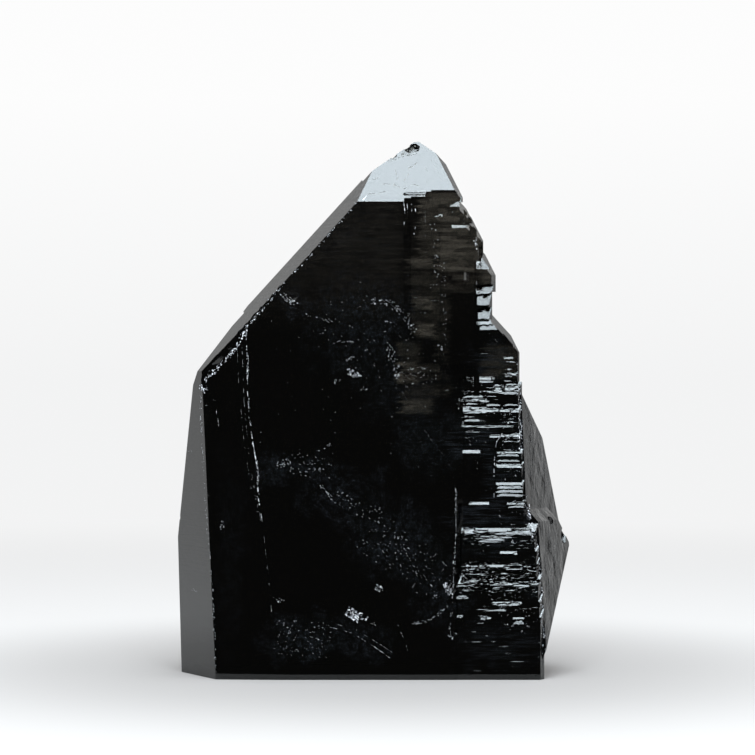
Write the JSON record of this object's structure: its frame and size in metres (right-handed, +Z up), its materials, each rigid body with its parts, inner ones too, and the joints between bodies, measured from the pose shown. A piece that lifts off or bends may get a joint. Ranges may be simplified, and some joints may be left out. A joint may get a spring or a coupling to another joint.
{
  "type": "morion quartz crystal",
  "caption": "Upright hand-sized morion quartz point, near black and glassy, with a pale apex face, stepped growth ledges down one flank and a flat base.",
  "frame": {"origin": "on the floor under the middle of the bounding box", "axes": "+Z up along the crystal's c axis to the tip, -Y towards the broad front prism face, +X towards the stepped flank"},
  "size_m": [0.0762, 0.045, 0.1031],
  "materials": {
    "morion": "near-black smoky quartz: glassy natural faces, brown where thin, frosted where chipped"
  },
  "bodies": {
    "root": {"morion_crystal": "morion"}
  },
  "joints": []
}
